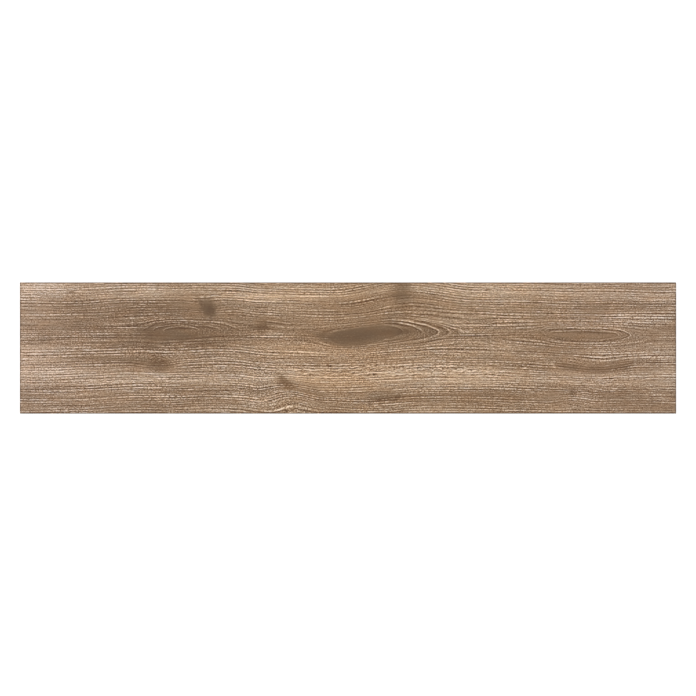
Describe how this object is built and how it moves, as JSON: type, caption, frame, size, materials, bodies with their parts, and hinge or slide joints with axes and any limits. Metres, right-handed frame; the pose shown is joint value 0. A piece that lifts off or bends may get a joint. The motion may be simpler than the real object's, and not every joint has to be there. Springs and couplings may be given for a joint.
{
  "type": "wood-look porcelain plank tile",
  "caption": "Flat rectangular porcelain floor tile with a wood-grain glazed face, a fine bevel round that face and a ribbed back that keys into adhesive.",
  "frame": {"origin": "middle of the back, in the plane of its ribs and rim", "axes": "+X along the plank with the grain, +Y across it, +Z out of the glazed face"},
  "size_m": [1, 0.2, 0.009],
  "materials": {
    "glazed_porcelain": "matt glaze printed and embossed as limed brown oak, on a bare grey-brown porcelain body"
  },
  "bodies": {
    "root": {"plank_tile": "glazed_porcelain"}
  },
  "joints": []
}
